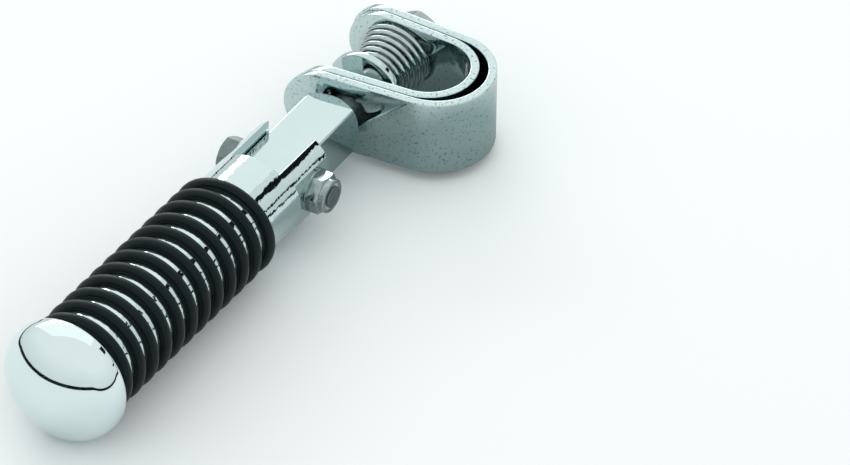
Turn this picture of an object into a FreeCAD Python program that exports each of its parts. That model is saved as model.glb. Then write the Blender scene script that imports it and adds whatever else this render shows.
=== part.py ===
# Clamp-on folding foot peg: a strap clamp, a square arm, and a grooved peg with twelve rubber rings.
# Millimetres. +Z is up, the origin is the middle of the tube that the clamp holds,
# the arm and its clamp bolt run along -Y, and the peg's pivot bolt runs along X.
import FreeCAD
import Part
import math
import os

V = FreeCAD.Vector
X_AXIS, Y_AXIS, Z_AXIS = V(1, 0, 0), V(0, 1, 0), V(0, 0, 1)

# Clamp: two nested straps of flat steel, bent round the tube
tube_d = 22.2            # engine guard tube that the clamp goes round
tube_play = 0.15         # between the tube and the inner strap, all round
strap_t = 2.4            # thickness of each strap
strap_w = 22.8           # width of both straps, along the tube
strap_play = 0.3         # between the two straps along their legs
bend_step = 2.4          # how far the outer bend stands out past the inner one
splay = 7.0              # degrees that the front leg opens from the back leg
tube_to_bolt = 16.4      # tube axis to clamp bolt axis
ear_reach = 15.9         # clamp bolt axis to the outer strap's rounded ends
ear_step = 0.8           # how much shorter the inner strap's ends are
ear_hole_play = 0.5      # round the clamp bolt in the ears

# Clamp bolt and the loose pieces on it
bolt_d = 8.0
bolt_head_af = 13.0      # across the flats
bolt_head_h = 5.3
bolt_thread_in = 14.0    # length of bolt inside the arm
lock_t = 2.0             # split washer under the head
lock_d = 13.4
lock_split = 1.2
lock_play = 0.1          # round the bolt
stack_disc_d = 21.4      # loose washer between the ears
stack_disc_t = 2.4
stack_disc_play = 0.3    # round the bolt
disc_edge = 0.4          # chamfer on its rims
wire_d = 1.4             # cone spring behind the loose washer
spring_turns = 7
spring_small_d = 13.4    # outside of the first turn, on the washer
spring_large_d = 22.0    # outside of the last turn, at the back ear
spring_len = 14.2        # from end to end along the bolt
spring_seat = 0.05       # between the spring and its washer
slack = 0.3              # spring to back ear, and washer to front ear at the end of its slide

# Arm: square bar with a turned nose at the clamp and a tongue in the peg
bar = 14.3               # across the flats
bar_edge = 0.7           # radius of its long edges
bar_reach = 28.75        # pivot to nose
tongue = 11.1            # pivot to the tongue's end
nose_d = 12.8            # flat end face of the nose
nose_angle = 40.0        # degrees of the turned chamfer from the end face
nose_seat = 0.05         # nose to the nearest point of the front ear
tap_play = 0.05          # thread stand-in: hole radius over the bolt's
tap_extra = 4.0          # hole depth past the bolt's end

# Peg: turned sleeve with a clevis at the pivot and twelve grooves
peg_d = 26.0
slot_play = 0.2          # each side of the bar
stop_gap = 0.1           # tongue's top corner to the slot's floor
ear_tip = 6.8            # pivot to the ends of the clevis ears
tip_edge = 0.6           # chamfer round the ears' ends
ear_flat = 22.0          # across the milled flats that the nut and head sit on
flat_len = 9.3           # pivot to the shoulder of those flats
pin_d = 6.0              # pivot bolt
pin_play = 0.05          # running fit in the arm
first_ring = 26.0        # pivot to the first ring
ring_count = 12
ring_pitch = 6.05
ring_cord = 3.2          # thickness of a ring's round section
ring_d = 30.0            # outside of a ring
groove_play = 0.05       # ring to groove, floor and sides
cap_land = 2.65          # plain sleeve between the last groove and the cap

# Domed end cap and its stud
cap_d = 34.2
cap_rim = 1.1            # straight rim behind the dome
cap_edge = 1.8           # rounding of the rim's back edge
knuckle_r = 8.2          # tight radius between rim and crown
crown_r = 22.0
stud_d = 8.0
stud_in_peg = 14.0
stud_in_cap = 8.0
stud_play = 0.05
stud_end_gap = 1.0       # past each end of the stud

# Pivot hardware
washer_t = 0.8
washer_d = 12.0
head_af = 10.0           # bolt head and nut, across the flats
head_h = 4.4
nut_hex_h = 3.3
collar_d = 9.4           # round collar that grips the nut's plastic ring
collar_h = 1.7
collar_lip = 0.5         # metal left above the plastic ring
insert_d = 7.6
pin_proud = 0.3          # bolt end past the nut
nut_turn = 10.0          # degrees the nut happens to stand at
pin_fit = 0.02           # hardware holes round the pivot bolt

# Places that follow from the sizes
half = math.radians(splay) / 2
bore_r = tube_d / 2 + tube_play
nest_r = bore_r + strap_t + strap_play
outer_r = nest_r + strap_t
bolt_x = -tube_to_bolt
bolt_r = bolt_d / 2
outer_end = bolt_x - ear_reach
inner_end = outer_end + ear_step
ring_r = (ring_d - ring_cord) / 2
groove_r = ring_d / 2 - ring_cord - groove_play
last_ring = first_ring + (ring_count - 1) * ring_pitch
cap_seat = last_ring + ring_cord / 2 + cap_land


def front_y(x, offset):
    """Y of a plane along the splayed front leg, at its offset from the tube axis."""
    angle = math.radians(splay)
    return (x * math.sin(angle) - offset) / math.cos(angle)


nose_y = front_y(bolt_x - nose_d / 2, outer_r) - nose_seat
pivot = V(bolt_x, nose_y - bar_reach, 0)
spring_start = bore_r - slack - spring_len
disc_front = spring_start - spring_seat - stack_disc_t
slide_room = disc_front - front_y(bolt_x + stack_disc_d / 2, bore_r) - slack
# The peg lies on one floor with its first ring and the back edge of its cap
lying_run = cap_seat + cap_edge - first_ring
lying_rise = cap_d / 2 - cap_edge - ring_r
lying_turn = math.asin((cap_edge - ring_cord / 2) / math.hypot(lying_run, lying_rise))
rest = math.atan2(lying_rise, lying_run) + lying_turn
rest_fold = math.degrees(rest)
slot_depth = tongue * math.cos(rest) + bar / 2 * math.sin(rest) + stop_gap


def rod(radius, start, direction, length):
    """Round rod from a start point along a direction."""
    return Part.makeCylinder(radius, length, start, direction)


def turned(points, centre, axis):
    """Solid turned from a closed outline of points, about an axis through a centre."""
    wire = Part.makePolygon(points + points[:1])
    return Part.Face(wire).revolve(centre, axis, 360)


def hexagon(across, start, direction, height, turn=0.0, chamfered=True):
    """Hexagon head or nut body, with the turned chamfer on its outer end."""
    side = direction.cross(Z_AXIS)
    corner = across / math.sqrt(3)
    points = []
    for i in range(7):
        angle = math.radians(60 * i + turn)
        points.append(start + (side * math.cos(angle) + Z_AXIS * math.sin(angle)) * corner)
    body = Part.Face(Part.makePolygon(points)).extrude(direction * height)
    if not chamfered:
        return body
    drop = (corner - across / 2) * 1.1
    low = start + direction * (height - drop * math.tan(math.radians(30)) - 0.01)
    cone = Part.makeCone(corner, corner - drop, height - (low - start).dot(direction), low, direction)
    blank = rod(corner, start, direction, (low - start).dot(direction)).fuse(cone)
    return body.common(blank)


def strap(centre_x, inner, ear_end):
    """One bent strap with rounded ears and the clamp bolt's holes."""
    angle = math.radians(splay)
    centre = V(centre_x, centre_x * math.tan(half), 0)
    normal = V(math.sin(angle), -math.cos(angle), 0)
    crown = V(math.cos(half), math.sin(half), 0)
    low = Z_AXIS * (-strap_w / 2)

    def side(radius):
        """Leg end, tangent, crown, tangent and leg end of one face of the strap."""
        back = centre + Y_AXIS * radius
        front = centre + normal * radius
        run = (front.x - ear_end) / math.cos(angle)
        tip = front + V(-math.cos(angle), -math.sin(angle), 0) * run
        return [p + low for p in (V(ear_end, back.y, 0), back, centre + crown * radius, front, tip)]

    a, b = side(inner), side(inner + strap_t)
    edges = [
        Part.makeLine(a[0], a[1]), Part.Arc(a[1], a[2], a[3]).toShape(), Part.makeLine(a[3], a[4]),
        Part.makeLine(a[4], b[4]), Part.makeLine(b[4], b[3]), Part.Arc(b[3], b[2], b[1]).toShape(),
        Part.makeLine(b[1], b[0]), Part.makeLine(b[0], a[0]),
    ]
    body = Part.Face(Part.Wire(edges)).extrude(Z_AXIS * strap_w)
    reach = 4 * outer_r
    round_x = ear_end + strap_w / 2
    ends = rod(strap_w / 2, V(round_x, -reach / 2, 0), Y_AXIS, reach)
    rest = Part.makeBox(reach, reach, strap_w, V(round_x, -reach / 2, -strap_w / 2))
    body = body.common(ends.fuse(rest))
    hole = rod(bolt_r + ear_hole_play, V(bolt_x, -reach / 2, 0), Y_AXIS, reach)
    return body.cut(hole).removeSplitter()


def inner_strap():
    return strap(0.0, bore_r, inner_end)


def outer_strap():
    return strap(bend_step, nest_r - bend_step * math.tan(half), outer_end)


def clamp_bolt():
    """Hex bolt from behind the back ear, through both ears, into the arm's nose."""
    under_head = V(bolt_x, outer_r + lock_t, 0)
    end = nose_y - bolt_thread_in
    shank = rod(bolt_r, V(bolt_x, end, 0), Y_AXIS, under_head.y - end)
    head = hexagon(bolt_head_af, under_head, Y_AXIS, bolt_head_h)
    return head.fuse(shank).removeSplitter()


def lock_washer():
    """Split spring washer between the bolt's head and the back ear."""
    start = V(bolt_x, outer_r, 0)
    ring = rod(lock_d / 2, start, Y_AXIS, lock_t)
    ring = ring.cut(rod(bolt_r + lock_play, start, Y_AXIS, lock_t))
    split = Part.makeBox(lock_split, 3 * lock_t, lock_d, start + V(-lock_split / 2, -lock_t, 0))
    split.rotate(start + Y_AXIS * (lock_t / 2), Z_AXIS, 25)
    return ring.cut(split)


def stack_washer():
    """Thick loose washer that slides on the clamp bolt between the ears."""
    r, hole = stack_disc_d / 2, bolt_r + stack_disc_play
    y0, y1 = disc_front, disc_front + stack_disc_t
    outline = [(hole, y0), (r - disc_edge, y0), (r, y0 + disc_edge), (r, y1 - disc_edge),
               (r - disc_edge, y1), (hole, y1)]
    points = [V(bolt_x + radius, y, 0) for radius, y in outline]
    return turned(points, V(bolt_x, 0, 0), Y_AXIS)


def spring_point(turn):
    """Point and direction of the spring's wire after a number of turns."""
    small = (spring_small_d - wire_d) / 2
    grow = (spring_large_d - spring_small_d) / 2 / spring_turns
    climb = (spring_len - wire_d) / spring_turns
    radius = small + grow * turn
    angle = 2 * math.pi * turn
    point = V(bolt_x + radius * math.cos(angle), spring_start + wire_d / 2 + climb * turn,
              radius * math.sin(angle))
    along = V(grow * math.cos(angle) - 2 * math.pi * radius * math.sin(angle), climb,
              grow * math.sin(angle) + 2 * math.pi * radius * math.cos(angle))
    return point, along.normalize()


def biarc(p0, t0, p1, t1):
    """Two tangent arcs from one point and direction to the next."""
    chord, total = p1 - p0, t0 + t1
    a = total.dot(total) - 4
    b = -2 * chord.dot(total)
    d = (-b - math.sqrt(b * b - 4 * a * chord.dot(chord))) / (2 * a)
    corner0, corner1 = p0 + t0 * d, p1 - t1 * d
    joint = (corner0 + corner1) * 0.5
    edges = []
    for start, corner, end in ((p0, corner0, joint), (joint, corner1, p1)):
        middle = (start + end) * 0.5
        cosine = (end - start).Length / 2 / d
        top = middle + (corner - middle) * (cosine / (1 + cosine))
        edges.append(Part.Arc(start, top, end).toShape())
    return edges


def cone_spring():
    """Cone spring of round wire, one unbroken tube with straight tails at both ends."""
    knots = [spring_point(i / 4) for i in range(4 * spring_turns + 1)]
    first, last = knots[0], knots[-1]
    tail = first[0] - first[1] * wire_d
    edges = [Part.makeLine(tail, first[0])]
    for (p0, t0), (p1, t1) in zip(knots, knots[1:]):
        edges += biarc(p0, t0, p1, t1)
    edges.append(Part.makeLine(last[0], last[0] + last[1] * wire_d))
    ring = Part.Wire(Part.Circle(tail, first[1], wire_d / 2).toShape())
    return Part.Wire(edges).makePipeShell([ring], True, False)


def spring_least_gap():
    """Least distance between two turns of the spring's wire, surface to surface."""
    steps = 48
    points = [spring_point(i / steps)[0] for i in range(steps * spring_turns + 1)]
    least = spring_len
    for i, p in enumerate(points):
        for q in points[i + steps // 2:]:
            least = min(least, (p - q).Length)
    return least - wire_d


def arm_bar():
    """Square bar: turned nose and tapped hole at the clamp, tongue with pivot hole at the peg."""
    h = bar / 2
    under = math.sqrt(tongue ** 2 - h ** 2)
    corner = (tongue + under) / 2
    belly = V(0, -corner, -math.sqrt(tongue ** 2 - corner ** 2))
    top, reach = V(0, -tongue, h), bar_reach
    edges = [
        Part.makeLine(V(0, reach, h), top), Part.makeLine(top, V(0, -tongue, 0)),
        Part.Arc(V(0, -tongue, 0), belly, V(0, -under, -h)).toShape(),
        Part.makeLine(V(0, -under, -h), V(0, reach, -h)), Part.makeLine(V(0, reach, -h), V(0, reach, h)),
    ]
    side = Part.Face(Part.Wire(edges)).extrude(X_AXIS * bar)
    side.translate(V(-h, 0, 0))
    section = Part.makeBox(bar, reach + tongue, bar, V(-h, -tongue, -h))
    long_edges = [e for e in section.Edges if abs(e.BoundBox.YLength) > bar]
    body = side.common(section.makeFillet(bar_edge, long_edges))
    nose, corner_r = nose_d / 2, bar
    back = (corner_r - nose) * math.tan(math.radians(nose_angle))
    blank = turned([V(0, -tongue, 0), V(corner_r, -tongue, 0), V(corner_r, reach - back, 0),
                    V(nose, reach, 0), V(0, reach, 0)], V(0, 0, 0), Y_AXIS)
    body = body.common(blank)
    body = body.cut(rod(pin_d / 2 + pin_play, V(-bar, 0, 0), X_AXIS, 2 * bar))
    depth = bolt_thread_in + tap_extra
    body = body.cut(rod(bolt_r + tap_play, V(0, reach - depth, 0), Y_AXIS, depth))
    body.translate(pivot)
    return body


def folded(shape):
    """Stand a peg piece, modelled straight along -Y from the pivot, at its rest fold."""
    shape.rotate(V(0, 0, 0), X_AXIS, -rest_fold)
    shape.translate(pivot)
    return shape


def peg_body():
    """Turned sleeve with ring grooves, a slot for the arm, milled flats and the stud's hole."""
    r = peg_d / 2
    outline = [V(0, ear_tip, 0), V(r - tip_edge, ear_tip, 0), V(r, ear_tip - tip_edge, 0)]
    wide = ring_cord / 2 + groove_play
    for i in range(ring_count):
        y = -(first_ring + i * ring_pitch)
        outline += [V(r, y + wide, 0), V(groove_r, y + wide, 0), V(groove_r, y - wide, 0), V(r, y - wide, 0)]
    outline += [V(r, -cap_seat, 0), V(0, -cap_seat, 0)]
    body = turned(outline, V(0, 0, 0), Y_AXIS)
    slot_w = bar + 2 * slot_play
    body = body.cut(Part.makeBox(slot_w, ear_tip + slot_depth + 1, peg_d + 2,
                                 V(-slot_w / 2, -slot_depth, -r - 1)))
    for sign in (-1, 1):
        corner = V(ear_flat / 2 if sign > 0 else -ear_flat / 2 - r, -flat_len, -r - 1)
        body = body.cut(Part.makeBox(r, ear_tip + flat_len + 1, peg_d + 2, corner))
    body = body.cut(rod(pin_d / 2 + pin_fit, V(-peg_d, 0, 0), X_AXIS, 2 * peg_d))
    depth = stud_in_peg + stud_end_gap
    body = body.cut(rod(stud_d / 2 + stud_play, V(0, -cap_seat, 0), Y_AXIS, depth))
    return folded(body)


def o_ring(number):
    """Rubber ring seated in its groove, counted from the pivot."""
    y = -(first_ring + number * ring_pitch)
    return folded(Part.makeTorus(ring_r, ring_cord / 2, V(0, y, 0), Y_AXIS))


def end_cap():
    """Domed cap: flat back, short rim, tight knuckle and flatter crown."""
    r, back = cap_d / 2, -cap_seat
    rim = back - cap_edge - cap_rim
    centre_r = r - knuckle_r
    crown_y = rim + math.sqrt((crown_r - knuckle_r) ** 2 - centre_r ** 2)
    slope = math.atan2(centre_r, crown_y - rim)
    meet = V(crown_r * math.sin(slope), crown_y - crown_r * math.cos(slope), 0)
    bulge = math.pi / 4 + slope / 2
    knuckle = V(centre_r + knuckle_r * math.sin(bulge), rim - knuckle_r * math.cos(bulge), 0)
    crown = V(crown_r * math.sin(slope / 2), crown_y - crown_r * math.cos(slope / 2), 0)
    tip = V(0, crown_y - crown_r, 0)
    turn = cap_edge * (1 - math.sqrt(0.5))
    edges = [
        Part.makeLine(V(0, back, 0), V(r - cap_edge, back, 0)),
        Part.Arc(V(r - cap_edge, back, 0), V(r - turn, back - turn, 0), V(r, back - cap_edge, 0)).toShape(),
        Part.makeLine(V(r, back - cap_edge, 0), V(r, rim, 0)),
        Part.Arc(V(r, rim, 0), knuckle, meet).toShape(),
        Part.Arc(meet, crown, tip).toShape(),
        Part.makeLine(tip, V(0, back, 0)),
    ]
    body = Part.Face(Part.Wire(edges)).revolve(V(0, 0, 0), Y_AXIS, 360)
    depth = stud_in_cap + stud_end_gap
    body = body.cut(rod(stud_d / 2 + stud_play, V(0, back - depth, 0), Y_AXIS, depth))
    return folded(body)


def cap_stud():
    """Plain stand-in for the threaded stud that holds the cap on the sleeve."""
    return folded(rod(stud_d / 2, V(0, -cap_seat - stud_in_cap, 0), Y_AXIS, stud_in_cap + stud_in_peg))


def pivot_washer(side):
    """Thin flat washer on one of the clevis flats."""
    direction = X_AXIS * side
    start = direction * (ear_flat / 2)
    ring = rod(washer_d / 2, start, direction, washer_t)
    return folded(ring.cut(rod(pin_d / 2 + pin_fit, start, direction, washer_t)))


nut_start = ear_flat / 2 + washer_t
nut_end = nut_start + nut_hex_h + collar_h


def pivot_bolt():
    """Hex bolt that the peg folds on, head on the -X side."""
    under_head = V(-ear_flat / 2 - washer_t, 0, 0)
    head = hexagon(head_af, under_head, -X_AXIS, head_h, 30)
    shank = rod(pin_d / 2, under_head, X_AXIS, nut_end + pin_proud - under_head.x)
    return folded(head.fuse(shank).removeSplitter())


def pivot_nut():
    """Lock nut: hexagon with a round collar that holds a plastic ring."""
    body = hexagon(head_af, V(nut_start, 0, 0), X_AXIS, nut_hex_h, nut_turn)
    collar_start = nut_end - collar_h - pin_fit
    collar = rod(collar_d / 2, V(collar_start, 0, 0), X_AXIS, nut_end - collar_start)
    rims = [e for e in collar.Edges if abs(e.CenterOfMass.x - nut_end) < pin_fit / 2]
    body = body.fuse(collar.makeFillet(collar_lip, rims))
    body = body.cut(rod(pin_d / 2 + pin_fit, V(nut_start, 0, 0), X_AXIS, nut_end))
    seat = rod(insert_d / 2 + pin_fit, V(nut_end - collar_h, 0, 0), X_AXIS, collar_h)
    return folded(body.cut(seat).removeSplitter())


def nut_insert():
    """Plastic locking ring inside the nut's collar."""
    start = V(nut_end - collar_h, 0, 0)
    ring = rod(insert_d / 2, start, X_AXIS, collar_h - collar_lip)
    return folded(ring.cut(rod(pin_d / 2 + pin_fit, start, X_AXIS, collar_h)))


def pieces():
    """Every piece by name."""
    found = {
        "inner_strap": inner_strap(), "outer_strap": outer_strap(), "clamp_bolt": clamp_bolt(),
        "lock_washer": lock_washer(), "stack_washer": stack_washer(), "cone_spring": cone_spring(),
        "arm_bar": arm_bar(), "peg_body": peg_body(), "end_cap": end_cap(), "cap_stud": cap_stud(),
        "pivot_bolt": pivot_bolt(), "pivot_nut": pivot_nut(), "nut_insert": nut_insert(),
        "head_washer": pivot_washer(-1), "nut_washer": pivot_washer(1),
    }
    for i in range(ring_count):
        found[f"o_ring_{i + 1:02d}"] = o_ring(i)
    return found


os.makedirs("parts", exist_ok=True)
for name, shape in pieces().items():
    shape.exportStep(f"parts/{name}.step")
print("least gap between the spring's turns, mm:", round(spring_least_gap(), 3))
floor = first_ring * math.sin(rest) - ring_r * math.cos(rest) - ring_cord / 2
print("pivot:", [round(c, 3) for c in pivot], "rest fold, degrees:", round(rest_fold, 3))
print("floor under the first ring and the cap, z:", round(floor, 3))
print("room for the loose pieces to slide, mm:", round(slide_room, 3))
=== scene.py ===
import math

import bmesh
import bpy
from mathutils import Matrix, Vector


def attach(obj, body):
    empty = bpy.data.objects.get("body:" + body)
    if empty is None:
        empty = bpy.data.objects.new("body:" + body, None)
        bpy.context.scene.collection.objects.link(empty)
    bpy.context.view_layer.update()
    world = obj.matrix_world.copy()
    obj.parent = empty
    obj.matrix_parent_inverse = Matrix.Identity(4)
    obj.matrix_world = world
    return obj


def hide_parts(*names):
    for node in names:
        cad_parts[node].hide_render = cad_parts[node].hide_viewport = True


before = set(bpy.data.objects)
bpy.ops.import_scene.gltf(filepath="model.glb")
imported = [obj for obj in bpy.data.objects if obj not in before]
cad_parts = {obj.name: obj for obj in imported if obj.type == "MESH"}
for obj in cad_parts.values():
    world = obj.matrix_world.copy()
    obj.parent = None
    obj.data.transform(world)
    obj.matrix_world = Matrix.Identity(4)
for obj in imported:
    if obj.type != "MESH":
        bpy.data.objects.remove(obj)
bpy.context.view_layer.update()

MM = 0.001


# The two clamp straps.
# Flat steel strip, sheared to length with rounded ears, bent hot round a former, polished and plated.
# The shorter strap nests in the longer one and the clamp bolt goes through all four ears.

def linear(code):
    """An sRGB hex colour as linear red, green, blue and alpha."""
    parts = [int(code[i:i + 2], 16) / 255 for i in (1, 3, 5)]
    return tuple(c / 12.92 if c <= 0.04045 else ((c + 0.055) / 1.055) ** 2.4 for c in parts) + (1.0,)


def add(tree, kind, settings, inputs):
    """Adds one node, gives it its settings, and fills or links its inputs."""
    made = tree.nodes.new(kind)
    for key, value in settings.items():
        setattr(made, key, value)
    for key, value in inputs.items():
        if isinstance(value, bpy.types.NodeSocket):
            tree.links.new(value, made.inputs[key])
        else:
            made.inputs[key].default_value = value
    return made


def new_material(name):
    """An empty node material and its tree."""
    material = bpy.data.materials.new(name)
    material.use_nodes = True
    material.node_tree.nodes.clear()
    return material, material.node_tree


def chrome_plate(name, light, dark, smooth, dull, ripple_mm, ripple_height, edge_mm, specks=0.0):
    """Bright chrome over polished steel: the eye sees clear reflections that waver a little where the
    steel under the plate was buffed by hand, faint smears, and edges rounded by the buffing wheel."""
    smear_mm = 18.0
    # Pits in the plate are coarser here than real ones, so that they show
    pit_mm = 0.7
    material, tree = new_material(name)
    place = add(tree, "ShaderNodeTexCoord", {}, {}).outputs["Object"]
    smear = add(tree, "ShaderNodeTexNoise", {}, {
        "Vector": place, "Scale": 1 / (smear_mm * MM), "Detail": 6.0, "Roughness": 0.6})
    haze = add(tree, "ShaderNodeMapRange", {}, {
        "Value": smear.outputs["Fac"], "From Min": 0.35, "From Max": 0.75,
        "To Min": smooth, "To Max": dull})
    tint = add(tree, "ShaderNodeMix", {"data_type": "RGBA"}, {
        "Factor": smear.outputs["Fac"], "A": linear(light), "B": linear(dark)})
    pits = add(tree, "ShaderNodeTexNoise", {}, {
        "Vector": place, "Scale": 1 / (pit_mm * MM), "Detail": 1.0})
    pitted = add(tree, "ShaderNodeMapRange", {}, {
        "Value": pits.outputs["Fac"], "From Min": 0.60, "From Max": 0.72, "To Max": specks})
    plated = add(tree, "ShaderNodeMix", {"data_type": "RGBA"}, {
        "Factor": pitted.outputs["Result"], "A": tint.outputs["Result"], "B": linear("#4f5c5e")})
    ripple = add(tree, "ShaderNodeTexNoise", {}, {
        "Vector": place, "Scale": 1 / (ripple_mm * MM), "Detail": 2.0})
    edge = add(tree, "ShaderNodeBevel", {"samples": 6}, {"Radius": edge_mm * MM})
    wave = add(tree, "ShaderNodeBump", {}, {
        "Strength": 1.0, "Distance": ripple_height * MM, "Height": ripple.outputs["Fac"],
        "Normal": edge.outputs["Normal"]})
    plate = add(tree, "ShaderNodeBsdfPrincipled", {}, {
        "Base Color": plated.outputs["Result"], "Metallic": 1.0,
        "Roughness": haze.outputs["Result"], "Normal": wave.outputs["Normal"]})
    add(tree, "ShaderNodeOutputMaterial", {}, {"Surface": plate.outputs["BSDF"]})
    return material


def keep(mesh, name, material, body, slot_name, *nodes):
    """Makes a mesh a piece of the object: its finish, its body and the solids that it stands for."""
    piece = bpy.data.objects.new(name, mesh)
    bpy.context.scene.collection.objects.link(piece)
    mesh.materials.clear()
    mesh.materials.append(material)
    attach(piece, body)
    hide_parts(*nodes)


def shade(work, degrees):
    """Smooth shading that breaks at edges sharper than an angle."""
    for face in work.faces:
        face.smooth = True
    for edge in work.edges:
        edge.smooth = edge.is_boundary or edge.calc_face_angle(0.0) < math.radians(degrees)


def to_mesh(work, name, degrees=35):
    """Closes a bmesh's seams, points its faces outwards and turns it into a mesh in metres."""
    bmesh.ops.remove_doubles(work, verts=work.verts, dist=1e-5)
    bmesh.ops.recalc_face_normals(work, faces=work.faces)
    shade(work, degrees)
    bmesh.ops.scale(work, verts=work.verts, vec=(MM, MM, MM))
    mesh = bpy.data.meshes.new(name)
    work.to_mesh(mesh)
    work.free()
    return mesh


# Handled and a little scuffed, with fine dark pits
strap_chrome = chrome_plate("chromed_strap_steel", "#d0dfdf", "#b6caca", smooth=0.06, dull=0.17,
                            ripple_mm=4.0, ripple_height=0.025, edge_mm=0.14, specks=0.6)
strap_w = 22.8
strap_t = 2.4
splay = math.radians(7.0)
bolt_x = -16.4
hole_r = 4.5
drill_reach = 30
edge_r = 0.35


def bent_strap(name, bend_x, inner, ear_end):
    """A strap as a stack of closed outlines from its inner face round its rounded rim to its outer face."""
    centre = Vector((bend_x, bend_x * math.tan(splay / 2)))
    half_w = strap_w / 2
    rim_steps = 4
    ear_steps = 24
    bend_steps = 72
    rim = [(edge_r, 0.0)]
    for i in range(1, rim_steps + 1):
        a = math.radians(90 / rim_steps * i)
        rim.append((edge_r * (1 - math.sin(a)), edge_r * (1 - math.cos(a))))
    for i in range(rim_steps, -1, -1):
        a = math.radians(90 / rim_steps * i)
        rim.append((edge_r * (1 - math.sin(a)), strap_t - edge_r * (1 - math.cos(a))))

    def stations(inset):
        """Half outline as (leg, place along it, height): back ear, bend, front ear."""
        r = half_w - inset
        tips = []
        for i in range(ear_steps + 1):
            a = math.pi / 2 * i / ear_steps
            tips.append((ear_end + half_w - r * math.cos(a), r * math.sin(a)))
        back = [("back", x, h) for x, h in tips]
        bend = [("bend", math.pi / 2 - (math.pi - splay) * i / bend_steps, r)
                for i in range(bend_steps + 1)]
        front = [("front", x, h) for x, h in reversed(tips)]
        return back + bend + front

    def spot(leg, place, radius):
        """Place in the strap's plane of one station on the face at that radius."""
        if leg == "bend":
            return centre + Vector((math.cos(place), math.sin(place))) * radius
        if leg == "back":
            return Vector((place, centre.y + radius))
        start = centre + Vector((math.sin(splay), -math.cos(splay))) * radius
        return Vector((place, start.y + (place - start.x) * math.tan(splay)))

    work = bmesh.new()
    loops = []
    for inset, depth in rim:
        upper = []
        lower = []
        for leg, place, height in stations(inset):
            p = spot(leg, place, inner + depth)
            upper.append(work.verts.new((p.x, p.y, height)))
            lower.append(work.verts.new((p.x, p.y, -height)))
        loops.append((upper, lower))
    for (u0, l0), (u1, l1) in zip(loops, loops[1:]):
        for i in range(len(u0) - 1):
            work.faces.new((u0[i], u0[i + 1], u1[i + 1], u1[i]))
            work.faces.new((l0[i + 1], l0[i], l1[i], l1[i + 1]))
    for upper, lower in (loops[0], loops[-1]):
        for i in range(len(upper) - 1):
            work.faces.new((upper[i], upper[i + 1], lower[i + 1], lower[i]))
    return to_mesh(work, name)


def cut(mesh, name, tool):
    """The mesh with a tool mesh cut out of it."""
    body = bpy.data.objects.new(name, mesh)
    helper = bpy.data.objects.new(name + "_tool", tool)
    bpy.context.scene.collection.objects.link(body)
    bpy.context.scene.collection.objects.link(helper)
    saw = body.modifiers.new("cut", "BOOLEAN")
    saw.operation = "DIFFERENCE"
    saw.solver = "EXACT"
    saw.object = helper
    evaluated = body.evaluated_get(bpy.context.evaluated_depsgraph_get())
    result = bpy.data.meshes.new_from_object(evaluated)
    bpy.data.objects.remove(helper)
    bpy.data.objects.remove(body)
    return result


def turned(outline, name, centre, axis, steps=96, degrees=35):
    """A shape turned on a lathe: an outline of (radius, place along the axis) taken round an axis."""
    side = Vector((0, 0, 1)).cross(axis)
    side = side.normalized() if side.length > 0.1 else Vector((1, 0, 0))
    up = Vector(axis).cross(side)
    work = bmesh.new()
    rows = []
    for i in range(steps):
        a = 2 * math.pi * i / steps
        out = side * math.cos(a) + up * math.sin(a)
        rows.append([work.verts.new(Vector(centre) + Vector(axis) * y + out * r) for r, y in outline])
    for row, after in zip(rows, rows[1:] + rows[:1]):
        for i in range(len(outline)):
            j = (i + 1) % len(outline)
            if outline[i][0] != 0 or outline[j][0] != 0:
                work.faces.new((row[i], row[j], after[j], after[i]))
    return to_mesh(work, name, degrees)


# Node, place of the bend's centre, radius inside the bend, end of the ears
strap_forms = (("outer_strap", 2.4, 13.803, -32.3),
               ("inner_strap", 0.0, 11.25, -31.5))
for strap, bend_x, inner, ear_end in strap_forms:
    drill = turned([(0, -drill_reach), (hole_r, -drill_reach), (hole_r, drill_reach), (0, drill_reach)],
                   "drill", (bolt_x, 0, 0), (0, 1, 0), 48)
    shape = cut(bent_strap(strap, bend_x, inner, ear_end), strap, drill)
    keep(shape, "clamp_" + strap, strap_chrome, "clamp", "chrome", strap)


# The clamp bolt.
# A long M8 hexagon bolt, cold forged, thread rolled, zinc plated bright. Its head bears on a split
# washer behind the back ear and its thread screws into the arm's nose.

def bright_zinc(name, light, dark, smooth, dull, edge_mm):
    """Bright zinc on forged and rolled steel: a greyer and softer shine than chrome, clouded by small
    crystals, with the dents of the forging in it."""
    cloud_mm = 2.0
    mark_mm = 1.0
    dent_mm = 0.008
    material, tree = new_material(name)
    place = add(tree, "ShaderNodeTexCoord", {}, {}).outputs["Object"]
    cloud = add(tree, "ShaderNodeTexNoise", {}, {
        "Vector": place, "Scale": 1 / (cloud_mm * MM), "Detail": 4.0})
    tint = add(tree, "ShaderNodeMix", {"data_type": "RGBA"}, {
        "Factor": cloud.outputs["Fac"], "A": linear(light), "B": linear(dark)})
    haze = add(tree, "ShaderNodeMapRange", {}, {
        "Value": cloud.outputs["Fac"], "From Min": 0.3, "From Max": 0.7,
        "To Min": smooth, "To Max": dull})
    edge = add(tree, "ShaderNodeBevel", {"samples": 6}, {"Radius": edge_mm * MM})
    marks = add(tree, "ShaderNodeTexNoise", {}, {
        "Vector": place, "Scale": 1 / (mark_mm * MM), "Detail": 2.0})
    dents = add(tree, "ShaderNodeBump", {}, {
        "Strength": 1.0, "Distance": dent_mm * MM, "Height": marks.outputs["Fac"],
        "Normal": edge.outputs["Normal"]})
    metal = add(tree, "ShaderNodeBsdfPrincipled", {}, {
        "Base Color": tint.outputs["Result"], "Metallic": 1.0,
        "Roughness": haze.outputs["Result"], "Normal": dents.outputs["Normal"]})
    add(tree, "ShaderNodeOutputMaterial", {}, {"Surface": metal.outputs["BSDF"]})
    return material


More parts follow.
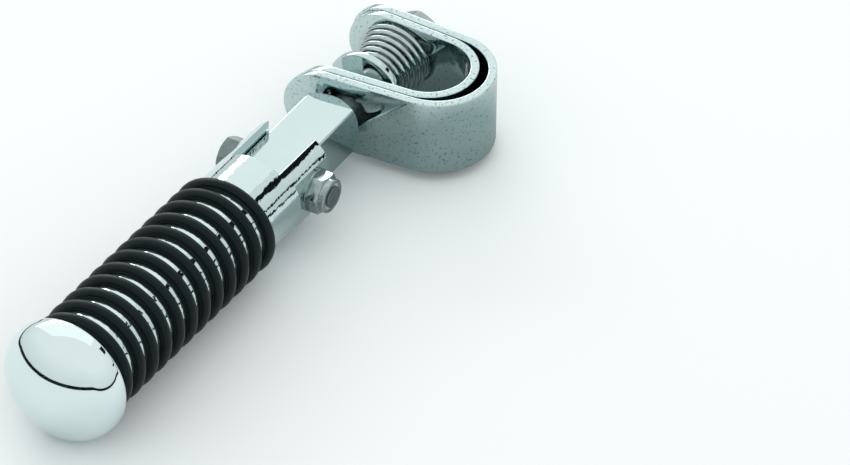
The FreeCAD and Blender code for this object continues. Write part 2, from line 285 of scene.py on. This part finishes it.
def group(name, sockets):
    """An empty geometry tree with named inputs, its input node's outputs, and the inputs' keys."""
    tree = bpy.data.node_groups.new(name, "GeometryNodeTree")
    tree.interface.new_socket("Geometry", in_out="OUTPUT", socket_type="NodeSocketGeometry")
    keys = {}
    for label, kind in sockets.items():
        keys[label] = tree.interface.new_socket(label, in_out="INPUT", socket_type=kind).identifier
    return tree, add(tree, "NodeGroupInput", {}, {}).outputs, keys


def grown(tree, keys, values, name):
    """The plain mesh that a geometry tree makes for those values."""
    carrier = bpy.data.objects.new(name, bpy.data.meshes.new(name))
    bpy.context.scene.collection.objects.link(carrier)
    growth = carrier.modifiers.new("growth", "NODES")
    growth.node_group = tree
    for label, value in values.items():
        growth[keys[label]] = value
    carrier.update_tag()
    evaluated = carrier.evaluated_get(bpy.context.evaluated_depsgraph_get())
    mesh = bpy.data.meshes.new_from_object(evaluated)
    bpy.data.objects.remove(carrier)
    return mesh


def coil_tree(name, material, normals):
    """A geometry tree that sweeps a round section along a helix or a cone helix."""
    tree, given, keys = group(name, {
        "Turns": "NodeSocketFloat", "First Radius": "NodeSocketFloat", "Last Radius": "NodeSocketFloat",
        "Length": "NodeSocketFloat", "Section Radius": "NodeSocketFloat",
        "Section Points": "NodeSocketInt", "Steps": "NodeSocketInt"})
    spiral = add(tree, "GeometryNodeCurveSpiral", {}, {
        "Resolution": given["Steps"], "Rotations": given["Turns"],
        "Start Radius": given["First Radius"], "End Radius": given["Last Radius"],
        "Height": given["Length"], "Reverse": True})
    path = add(tree, "GeometryNodeSetCurveNormal", {"mode": normals}, {"Curve": spiral.outputs["Curve"]})
    section = add(tree, "GeometryNodeCurvePrimitiveCircle", {}, {
        "Resolution": given["Section Points"], "Radius": given["Section Radius"]})
    swept = add(tree, "GeometryNodeCurveToMesh", {}, {
        "Curve": path.outputs["Curve"], "Profile Curve": section.outputs["Curve"], "Fill Caps": True})
    real = add(tree, "GeometryNodeRealizeInstances", {}, {"Geometry": swept.outputs["Mesh"]})
    dressed = add(tree, "GeometryNodeSetMaterial", {}, {
        "Geometry": real.outputs["Geometry"], "Material": material})
    add(tree, "NodeGroupOutput", {}, {"Geometry": dressed.outputs["Geometry"]})
    return tree, keys


def joined(meshes, name, degrees=35):
    """Several meshes as one, faces outwards."""
    work = bmesh.new()
    for mesh in meshes:
        work.from_mesh(mesh)
    bmesh.ops.remove_doubles(work, verts=work.verts, dist=1e-6)
    bmesh.ops.recalc_face_normals(work, faces=work.faces)
    shade(work, degrees)
    result = bpy.data.meshes.new(name)
    work.to_mesh(result)
    work.free()
    return result


def hexagon_head(name, across, height, centre, axis):
    """A hexagon with the turned chamfer on its outer end, as rings of points from its seat outwards."""
    points = 144
    chamfer_band = 1.0
    chamfer_rows = 20
    chamfer_slope = math.tan(math.radians(30))
    face_r = across / 2 * 0.96
    corner_r = across / math.sqrt(3)
    side = Vector((0, 0, 1)).cross(Vector(axis)).normalized()
    up = Vector(axis).cross(side)
    work = bmesh.new()
    places = [0.0]
    for i in range(chamfer_rows + 1):
        places.append(height - chamfer_band + chamfer_band / chamfer_rows * i)
    rows = []
    for y in places:
        row = []
        for i in range(points):
            a = 2 * math.pi * i / points
            flat_r = across / 2 / math.cos((a + math.pi / 6) % (math.pi / 3) - math.pi / 6)
            r = min(flat_r, face_r + (height - y) / chamfer_slope, corner_r)
            out = side * math.cos(a) + up * math.sin(a)
            row.append(work.verts.new(Vector(centre) + Vector(axis) * y + out * r))
        rows.append(row)
    for low, high in zip(rows, rows[1:]):
        for i in range(points):
            j = (i + 1) % points
            work.faces.new((low[i], low[j], high[j], high[i]))
    work.faces.new(rows[0])
    work.faces.new(rows[-1])
    return to_mesh(work, name, 20)


# Bright zinc, a little dulled by handling
zinc = bright_zinc("bright_zinc_bolt_steel", "#bfc7c7", "#a3adad", smooth=0.16, dull=0.30,
                   edge_mm=0.18)
# Lays a mesh that was built up along Z down along the clamp bolt
along = Matrix(((1, 0, 0, 0), (0, 0, 1, 0), (0, -1, 0, 0), (0, 0, 0, 1)))
tip_y = -33.32
thread_end = 6.0
head_y = 18.35
core_r = 3.38
crest_r = 4.0
thread_pitch = 1.25
thread_inset = 0.7
tip_step = 0.4
tip_cone = 0.5
run_out = 0.8
head_across = 13.0
head_h = 5.3
thread_len = thread_end - tip_y - 2 * thread_inset
thread_tree, thread_keys = coil_tree("rolled_thread", zinc, "Z_UP")
thread = grown(thread_tree, thread_keys, {
    "Turns": thread_len / thread_pitch, "First Radius": core_r * MM, "Last Radius": core_r * MM,
    "Length": thread_len * MM, "Section Radius": (crest_r - core_r) * MM, "Section Points": 4,
    "Steps": 36}, "clamp_thread")
thread.transform(Matrix.Translation(Vector((bolt_x, tip_y + thread_inset, 0)) * MM) @ along)
shank = turned([(0, tip_y), (core_r - tip_step, tip_y), (core_r, tip_y + tip_cone),
                (core_r, thread_end), (crest_r, thread_end + run_out), (crest_r, head_y), (0, head_y)],
               "clamp_shank", (bolt_x, 0, 0), (0, 1, 0), 64)
head = hexagon_head("clamp_head", head_across, head_h, (bolt_x, head_y, 0), (0, 1, 0))
clamp_bolt = joined([thread, shank, head], "clamp_bolt_threaded")
keep(clamp_bolt, "clamp_bolt_threaded", zinc, "clamp", "zinc", "clamp_bolt")


# The split washer under the bolt's head.
# Spring steel of square section, coiled and cut through at a slant; zinc plated.

def merged_copy(node, name, degrees=30):
    """A copy of a solid's mesh with its loose triangles joined and its curved faces shaded smooth."""
    work = bmesh.new()
    work.from_mesh(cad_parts[node].data)
    bmesh.ops.remove_doubles(work, verts=work.verts, dist=2e-6)
    shade(work, degrees)
    mesh = bpy.data.meshes.new(name)
    work.to_mesh(mesh)
    work.free()
    return mesh


# Zinc that has gone duller over spring steel
lock_zinc = bright_zinc("zinc_spring_washer", "#aab2b2", "#8e9898", smooth=0.22, dull=0.36,
                        edge_mm=0.2)
keep(merged_copy("lock_washer", "split_washer"), "split_washer", lock_zinc, "clamp", "zinc",
     "lock_washer")


# The thick loose washer on the clamp bolt.
# Turned from bar and chrome plated; it slides on the bolt and centres the small end of the spring.

# Chrome over turned steel, nearly flat
disc_chrome = chrome_plate("chromed_turned_washer", "#c6d4d4", "#b0c0c0", smooth=0.06, dull=0.14,
                           ripple_mm=3.0, ripple_height=0.006, edge_mm=0.12)
disc_y0 = -5.70
disc_y1 = -3.30
disc_r = 10.7
disc_hole = 4.3
hole_edge = 0.2
disc_edge = 0.45
disc_mid = 0.13
disc = turned([(disc_hole, disc_y0 + hole_edge), (disc_hole + hole_edge, disc_y0),
               (disc_r - disc_edge, disc_y0), (disc_r - disc_mid, disc_y0 + disc_mid),
               (disc_r, disc_y0 + disc_edge), (disc_r, disc_y1 - disc_edge),
               (disc_r - disc_mid, disc_y1 - disc_mid), (disc_r - disc_edge, disc_y1),
               (disc_hole + hole_edge, disc_y1), (disc_hole, disc_y1 - hole_edge)],
              "loose_disc", (bolt_x, 0, 0), (0, 1, 0), 120)
keep(disc, "loose_disc", disc_chrome, "stack", "chrome", "stack_washer")


# The cone spring behind the loose washer.
# Round spring wire 1.4 mm thick, coiled in seven turns that widen towards the back ear; bright plated.

# Brighter than the bolts, because drawn wire is smooth
spring_zinc = bright_zinc("bright_plated_spring_wire", "#c4cfcf", "#96a3a3", smooth=0.07, dull=0.18,
                          edge_mm=0.05)
wire_r = 0.7
spring_y0 = -3.25
spring_y1 = 10.95
spring_tree, spring_keys = coil_tree("cone_coil", spring_zinc, "MINIMUM_TWIST")
coil = grown(spring_tree, spring_keys, {
    "Turns": 7.0, "First Radius": 6.0 * MM, "Last Radius": 10.3 * MM,
    "Length": (spring_y1 - spring_y0 - 2 * wire_r) * MM, "Section Radius": wire_r * MM,
    "Section Points": 20, "Steps": 64}, "cone_coil")
coil.transform(Matrix.Translation(Vector((bolt_x, spring_y0 + wire_r, 0)) * MM) @ along)
keep(joined([coil], "cone_coil", 60), "cone_coil", spring_zinc, "stack", "zinc", "cone_spring")


# The arm.
# Square cold-drawn bar, its nose turned and tapped, its tongue milled round and drilled; then ground,
# polished and plated.

# The flat faces were ground, so the reflections waver slowly
bar_chrome = chrome_plate("chromed_ground_bar", "#ccdada", "#bfcfcf", smooth=0.045, dull=0.11,
                          ripple_mm=7.0, ripple_height=0.010, edge_mm=0.25)
keep(merged_copy("arm_bar", "square_arm"), "square_arm", bar_chrome, "arm", "chrome", "arm_bar")


# The peg's sleeve.
# Turned from round steel bar with twelve ring grooves, slotted and milled flat at the pivot, then
# polished and plated.

# The buffing left the strongest ripple here, so dark bands in it come out jagged
sleeve_chrome = chrome_plate("chromed_turned_sleeve", "#cedddd", "#bfd0d0", smooth=0.03, dull=0.08,
                             ripple_mm=2.5, ripple_height=0.08, edge_mm=0.22)
keep(merged_copy("peg_body", "grooved_sleeve"), "grooved_sleeve", sleeve_chrome, "peg", "chrome",
     "peg_body")


# The pivot bolt, its washers and the lock nut.
# M6 hexagon bolt and nut, zinc plated; a nylon ring in the nut's round collar grips the thread.

# Contrasty bright zinc on the nut and the washers, a duller one on the bolt, painted darker as painted dark
# reflections in its head
pivot_zinc = bright_zinc("bright_zinc_pivot_steel", "#b6c2c2", "#7f8d8d", smooth=0.08, dull=0.20,
                         edge_mm=0.2)
head_zinc = bright_zinc("dull_zinc_pivot_bolt_painted_dark", "#8f9c9c", "#56625f", smooth=0.12, dull=0.26,
                        edge_mm=0.3)
keep(merged_copy("pivot_bolt", "pivot_hex_bolt"), "pivot_hex_bolt", head_zinc, "peg", "zinc",
     "pivot_bolt")
keep(merged_copy("pivot_nut", "pivot_lock_nut"), "pivot_lock_nut", pivot_zinc, "peg", "zinc",
     "pivot_nut")
for end in ("head", "nut"):
    keep(merged_copy(end + "_washer", end + "_side_washer"), end + "_side_washer", pivot_zinc, "peg",
         "zinc", end + "_washer")

# Undyed nylon: off-white, waxy, faintly mottled
nylon, tree = new_material("natural_nylon")
mottle_mm = 0.8
place = add(tree, "ShaderNodeTexCoord", {}, {}).outputs["Object"]
grain = add(tree, "ShaderNodeTexNoise", {}, {"Vector": place, "Scale": 1 / (mottle_mm * MM)})
tint = add(tree, "ShaderNodeMix", {"data_type": "RGBA"}, {
    "Factor": grain.outputs["Fac"], "A": linear("#d9d7cb"), "B": linear("#cbc8ba")})
plastic = add(tree, "ShaderNodeBsdfPrincipled", {}, {
    "Base Color": tint.outputs["Result"], "Roughness": 0.45, "IOR": 1.53})
add(tree, "ShaderNodeOutputMaterial", {}, {"Surface": plastic.outputs["BSDF"]})
keep(merged_copy("nut_insert", "nut_nylon_ring"), "nut_nylon_ring", nylon, "peg", "nylon", "nut_insert")


# The tread rings.
# Twelve moulded rubber rings of round section, stretched over the sleeve into their grooves.
# The ring next to the clevis has rolled a little askew.

# Satin black with a faint bloom and a fine moulded skin, so that light runs along a ring as a soft line
rubber, tree = new_material("moulded_black_rubber")
bloom_mm = 12.0
skin_mm = 0.4
pore_mm = 0.01
place = add(tree, "ShaderNodeTexCoord", {}, {}).outputs["Object"]
bloom = add(tree, "ShaderNodeTexNoise", {}, {
    "Vector": place, "Scale": 1 / (bloom_mm * MM), "Detail": 5.0})
tint = add(tree, "ShaderNodeMix", {"data_type": "RGBA"}, {
    "Factor": bloom.outputs["Fac"], "A": linear("#040808"), "B": linear("#0c1414")})
skin = add(tree, "ShaderNodeTexNoise", {}, {"Vector": place, "Scale": 1 / (skin_mm * MM), "Detail": 2.0})
pores = add(tree, "ShaderNodeBump", {}, {
    "Strength": 0.6, "Distance": pore_mm * MM, "Height": skin.outputs["Fac"]})
shine = add(tree, "ShaderNodeMapRange", {}, {
    "Value": bloom.outputs["Fac"], "From Min": 0.3, "From Max": 0.7, "To Min": 0.36, "To Max": 0.50})
black = add(tree, "ShaderNodeBsdfPrincipled", {}, {
    "Base Color": tint.outputs["Result"], "Roughness": shine.outputs["Result"], "IOR": 1.52,
    "Specular IOR Level": 0.3, "Specular Tint": linear("#b4d0d3"), "Normal": pores.outputs["Normal"]})
add(tree, "ShaderNodeOutputMaterial", {}, {"Surface": black.outputs["BSDF"]})

tree, given, ring_keys = group("rings_on_sleeve", {
    "Count": "NodeSocketInt", "First": "NodeSocketFloat", "Pitch": "NodeSocketFloat",
    "Ring Radius": "NodeSocketFloat", "Cord Radius": "NodeSocketFloat", "Lean": "NodeSocketFloat",
    "First Lean": "NodeSocketFloat", "Seed": "NodeSocketInt"})
step = add(tree, "ShaderNodeMath", {"operation": "MULTIPLY"}, {0: given["Pitch"], 1: -1.0})
begin = add(tree, "ShaderNodeMath", {"operation": "MULTIPLY"}, {0: given["First"], 1: -1.0})
step_at = add(tree, "ShaderNodeCombineXYZ", {}, {"Y": step.outputs[0]})
begin_at = add(tree, "ShaderNodeCombineXYZ", {}, {"Y": begin.outputs[0]})
row = add(tree, "GeometryNodeMeshLine", {"mode": "OFFSET"}, {
    "Count": given["Count"], "Start Location": begin_at.outputs[0], "Offset": step_at.outputs[0]})
path = add(tree, "GeometryNodeCurvePrimitiveCircle", {}, {
    "Resolution": 128, "Radius": given["Ring Radius"]})
cord = add(tree, "GeometryNodeCurvePrimitiveCircle", {}, {
    "Resolution": 28, "Radius": given["Cord Radius"]})
ring = add(tree, "GeometryNodeCurveToMesh", {}, {
    "Curve": path.outputs["Curve"], "Profile Curve": cord.outputs["Curve"]})
# Each ring leans a little to one side or the other
low = add(tree, "ShaderNodeMath", {"operation": "MULTIPLY"}, {0: given["Lean"], 1: -1.0})
tilt = add(tree, "FunctionNodeRandomValue", {"data_type": "FLOAT"}, {
    "Min": low.outputs[0], "Max": given["Lean"], "Seed": given["Seed"]})
# The first one leans more, its lower right side towards the pivot
which = add(tree, "GeometryNodeInputIndex", {}, {})
is_first = add(tree, "ShaderNodeMath", {"operation": "LESS_THAN"}, {0: which.outputs["Index"], 1: 0.5})
askew = add(tree, "ShaderNodeMath", {"operation": "MULTIPLY"}, {
    0: is_first.outputs[0], 1: given["First Lean"]})
stood = add(tree, "ShaderNodeMath", {"operation": "ADD"}, {0: askew.outputs[0], 1: math.pi / 2})
tilt_more = add(tree, "ShaderNodeMath", {"operation": "ADD"}, {
    0: tilt.outputs["Value"], 1: stood.outputs[0]})
lean = add(tree, "ShaderNodeCombineXYZ", {}, {"X": tilt_more.outputs[0], "Z": askew.outputs[0]})
placed = add(tree, "GeometryNodeInstanceOnPoints", {}, {
    "Points": row.outputs["Mesh"], "Instance": ring.outputs["Mesh"], "Rotation": lean.outputs[0]})
real = add(tree, "GeometryNodeRealizeInstances", {}, {"Geometry": placed.outputs["Instances"]})
dressed = add(tree, "GeometryNodeSetMaterial", {}, {
    "Geometry": real.outputs["Geometry"], "Material": rubber})
add(tree, "NodeGroupOutput", {}, {"Geometry": dressed.outputs["Geometry"]})

rings = grown(tree, ring_keys, {
    "Count": 12, "First": 26.0 * MM, "Pitch": 6.05 * MM, "Ring Radius": 13.4 * MM,
    "Cord Radius": 1.6 * MM, "Lean": math.radians(0.35), "First Lean": math.radians(2.2),
    "Seed": 7}, "tread_rings")
# The peg is built straight along -Y from the pivot, and stands at its rest fold
pivot = Vector((-16.4, -48.072, 0))
rest_fold = math.radians(1.657)
stand = Matrix.Translation(pivot * MM) @ Matrix.Rotation(-rest_fold, 4, "X")
rings.transform(stand)
keep(joined([rings], "tread_rings", 80), "tread_rings", rubber, "peg", "rubber",
     *[f"o_ring_{i:02d}" for i in range(1, 13)])


# The domed end cap.
# Turned from solid bar, buffed to a mirror and chrome plated; a stud holds it tight against the sleeve.

# Clearer than the rest, with hardly any ripple, and paler than the other chrome: painted light that
# brightens its reflections
cap_chrome = chrome_plate("chromed_buffed_dome", "#e2eded", "#d6e4e4", smooth=0.03, dull=0.07,
                          ripple_mm=8.0, ripple_height=0.020, edge_mm=0.05)
cap_r = 17.1
cap_back = 97.0
cap_edge = 1.8
cap_rim = 1.1
knuckle_r = 8.2
crown_r = 22.0
rim_end = cap_back + cap_edge + cap_rim
knuckle_at = cap_r - knuckle_r
crown_at = rim_end - math.sqrt((crown_r - knuckle_r) ** 2 - knuckle_at ** 2)
slope = math.atan2(knuckle_at, rim_end - crown_at)
edge_steps = 8
knuckle_steps = 32
crown_steps = 48
outline = [(0.0, cap_back)]
for i in range(edge_steps + 1):
    a = math.pi / 2 * i / edge_steps
    outline.append((cap_r - cap_edge + cap_edge * math.sin(a),
                    cap_back + cap_edge - cap_edge * math.cos(a)))
for i in range(knuckle_steps + 1):
    a = (math.pi / 2 - slope) * i / knuckle_steps
    outline.append((knuckle_at + knuckle_r * math.cos(a), rim_end + knuckle_r * math.sin(a)))
for i in range(1, crown_steps):
    a = slope * (1 - i / crown_steps)
    outline.append((crown_r * math.sin(a), crown_at + crown_r * math.cos(a)))
outline.append((0.0, crown_at + crown_r))
dome = turned(outline, "domed_cap", (0, 0, 0), (0, -1, 0), 160)
dome.transform(stand)
keep(dome, "domed_cap", cap_chrome, "peg", "chrome", "end_cap")

# The stud inside it keeps its own mesh; plain dull zinc, as on threaded rod
stud_zinc = bright_zinc("zinc_stud", "#aab2b2", "#8e9898", smooth=0.25, dull=0.4, edge_mm=0.2)
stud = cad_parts["cap_stud"]
stud.data.materials.clear()
stud.data.materials.append(stud_zinc)


# The floor: a plain pale sheet of paper under the first ring and the cap.

def stage_piece(mesh, name, material):
    """A mesh of the setting, which isn't part of the object."""
    thing = bpy.data.objects.new(name, mesh)
    bpy.context.scene.collection.objects.link(thing)
    mesh.materials.append(material)
    return thing


def matt(name, colour):
    """A plain matt finish for the setting."""
    material, tree = new_material(name)
    flat = add(tree, "ShaderNodeBsdfDiffuse", {}, {"Color": linear(colour)})
    add(tree, "ShaderNodeOutputMaterial", {}, {"Surface": flat.outputs["BSDF"]})
    return material


def sheet(name, middle, half_side):
    """A square sheet that lies flat."""
    work = bmesh.new()
    bmesh.ops.create_grid(work, x_segments=1, y_segments=1, size=half_side * MM)
    bmesh.ops.translate(work, verts=work.verts, vec=Vector(middle) * MM)
    mesh = bpy.data.meshes.new(name)
    work.to_mesh(mesh)
    work.free()
    return mesh


floor_z = -14.243
floor_gap = 0.02
floor_half = 3000.0
stage_piece(sheet("floor", (0, 0, floor_z - floor_gap), floor_half), "floor",
            matt("pale_paper", "#f2f4f4"))


# The dark fence and the two dark bars: felt, seen only in reflections.
# The low fence round the object draws a thin dark line at the chrome's horizon. The bars hang to its
# right, along the peg, and give black bands with the ripple of the metal in them.

def only_reflected(thing):
    """Leaves a piece of the setting visible to reflections alone."""
    thing.visible_camera = False
    thing.visible_diffuse = False
    thing.visible_shadow = False


felt = matt("dark_felt", "#15191a")
peg_middle = Vector((-16, -60, 0))
fence_r = 420.0
fence_h = 27.0
fence_t = 4.0
fence_mesh = turned([(fence_r, floor_z), (fence_r + fence_t, floor_z),
                     (fence_r + fence_t, floor_z + fence_h), (fence_r, floor_z + fence_h)],
                    "dark_fence", peg_middle, (0, 0, 1), 96)
only_reflected(stage_piece(fence_mesh, "dark_fence", felt))

bar_away = 500.0
bar_start = 300
bar_stop = 1000
for name, rise, wide in (("upper_bar", 47.0, 118.0), ("lower_bar", 15.5, 34.0)):
    out = Vector((math.cos(math.radians(rise)), 0, math.sin(math.radians(rise))))
    over = Vector((-out.z, 0, out.x)) * (wide / 2)
    middle = Vector((bolt_x, 0, 0)) + out * bar_away
    corners = ((bar_start, -1), (bar_stop, -1), (bar_stop, 1), (bar_start, 1))
    work = bmesh.new()
    work.faces.new([work.verts.new((middle + Vector((0, y, 0)) + over * half) * MM)
                    for y, half in corners])
    bar_mesh = bpy.data.meshes.new(name)
    work.to_mesh(bar_mesh)
    work.free()
    only_reflected(stage_piece(bar_mesh, name, felt))


# The painted floor shadow: a grey sheet that lies in front of the clamp, fades out towards its edges, and
# is seen only in the chrome, where it paints the floor's shadow into the straps' faces and keeps them mid
# grey.

floor_shadow_at = Vector((20, -10, floor_z))
floor_shadow_fade = Vector((62, 60, 60))
floor_shadow_half = 70.0
floor_shadow_paint, tree = new_material("painted_floor_shadow")
place = add(tree, "ShaderNodeTexCoord", {}, {}).outputs["Object"]
centred = add(tree, "ShaderNodeMapping", {"vector_type": "TEXTURE"}, {
    "Vector": place, "Location": floor_shadow_at * MM, "Scale": floor_shadow_fade * MM})
spot = add(tree, "ShaderNodeTexGradient", {"gradient_type": "SPHERICAL"}, {
    "Vector": centred.outputs["Vector"]})
cover = add(tree, "ShaderNodeMapRange", {}, {"Value": spot.outputs["Fac"], "From Max": 0.5})
clear = add(tree, "ShaderNodeBsdfTransparent", {}, {})
# Mid grey: painted shadow of the floor in front of the clamp, for the chrome's reflections
shadow_grey = add(tree, "ShaderNodeBsdfDiffuse", {}, {"Color": linear("#a9b3b3")})
blend = add(tree, "ShaderNodeMixShader", {}, {
    0: cover.outputs["Result"], 1: clear.outputs["BSDF"], 2: shadow_grey.outputs["BSDF"]})
add(tree, "ShaderNodeOutputMaterial", {}, {"Surface": blend.outputs["Shader"]})
only_reflected(stage_piece(sheet("painted_floor_shadow", floor_shadow_at, floor_shadow_half), "painted_floor_shadow", floor_shadow_paint))


# The light: a large soft box overhead and behind, a low strip at the left, and a pale room.
# A lamp's reflection adds to the room's behind it, so both lamps are weak.

def soft_box(name, place, size, watts):
    """An area lamp that faces the peg."""
    lamp = bpy.data.lights.new(name, "AREA")
    lamp.shape = "RECTANGLE"
    lamp.size = size[0] * MM
    lamp.size_y = size[1] * MM
    lamp.energy = watts
    holder = bpy.data.objects.new(name, lamp)
    bpy.context.scene.collection.objects.link(holder)
    holder.location = Vector(place) * MM
    aim = peg_middle * MM - holder.location
    holder.rotation_euler = aim.to_track_quat("-Z", "Y").to_euler()


soft_box("overhead", (-420, 520, 900), (1700, 1200), 1.4)
soft_box("strip", (-760, 640, 400), (900, 220), 2.8)

world = bpy.data.worlds.new("studio")
bpy.context.scene.world = world
world.use_nodes = True
tree = world.node_tree
tree.nodes.clear()
way = add(tree, "ShaderNodeTexCoord", {}, {})
height = add(tree, "ShaderNodeSeparateXYZ", {}, {"Vector": way.outputs["Generated"]})
ramp = add(tree, "ShaderNodeValToRGB", {}, {"Fac": height.outputs["Z"]})
horizon, ceiling = ramp.color_ramp.elements
horizon.position = 0.0
horizon.color = linear("#d8dfdf")
ceiling.position = 0.5
ceiling.color = linear("#eef2f2")
glow = add(tree, "ShaderNodeBackground", {}, {"Color": ramp.outputs["Color"], "Strength": 1.12})
add(tree, "ShaderNodeOutputWorld", {}, {"Surface": glow.outputs["Background"]})


# The camera: stands where the straight edges and the outline of the object, as measured in the
# picture, put it. The anchor is a point of the object and anchor_px the place where it has to appear.

turn_about = math.radians(32.349)
tip_up = math.radians(39.436)
roll = math.radians(0.055)
px_per_mm = 3.8324
far = 1815.5
frame_px = Vector((850, 465))
anchor = Vector((-16.4, -51.0, 0))
anchor_px = Vector((272.08, 180.93))
sensor_mm = 36.0
level = Vector((math.cos(turn_about), math.sin(turn_about), 0))
steep = Vector((-math.sin(turn_about) * math.sin(tip_up), math.cos(turn_about) * math.sin(tip_up),
                math.cos(tip_up)))
right = level * math.cos(roll) - steep * math.sin(roll)
up = level * math.sin(roll) + steep * math.cos(roll)
stand_at = anchor + right.cross(up) * far
aim_at = anchor + right * (frame_px.x / 2 - anchor_px.x) / px_per_mm
aim_at -= up * (frame_px.y / 2 - anchor_px.y) / px_per_mm
back = (stand_at - aim_at).normalized()
side = up.cross(back).normalized()
camera_data = bpy.data.cameras.new("camera")
camera_data.sensor_width = sensor_mm
camera_data.lens = sensor_mm * px_per_mm * far / frame_px.x
camera_data.clip_start = 0.1
camera_data.clip_end = 20.0
camera = bpy.data.objects.new("camera", camera_data)
bpy.context.scene.collection.objects.link(camera)
facing = Matrix((side, back.cross(side), back)).transposed().to_4x4()
camera.matrix_world = Matrix.Translation(stand_at * MM) @ facing
bpy.context.scene.camera = camera
bpy.context.scene.view_settings.view_transform = "Standard"
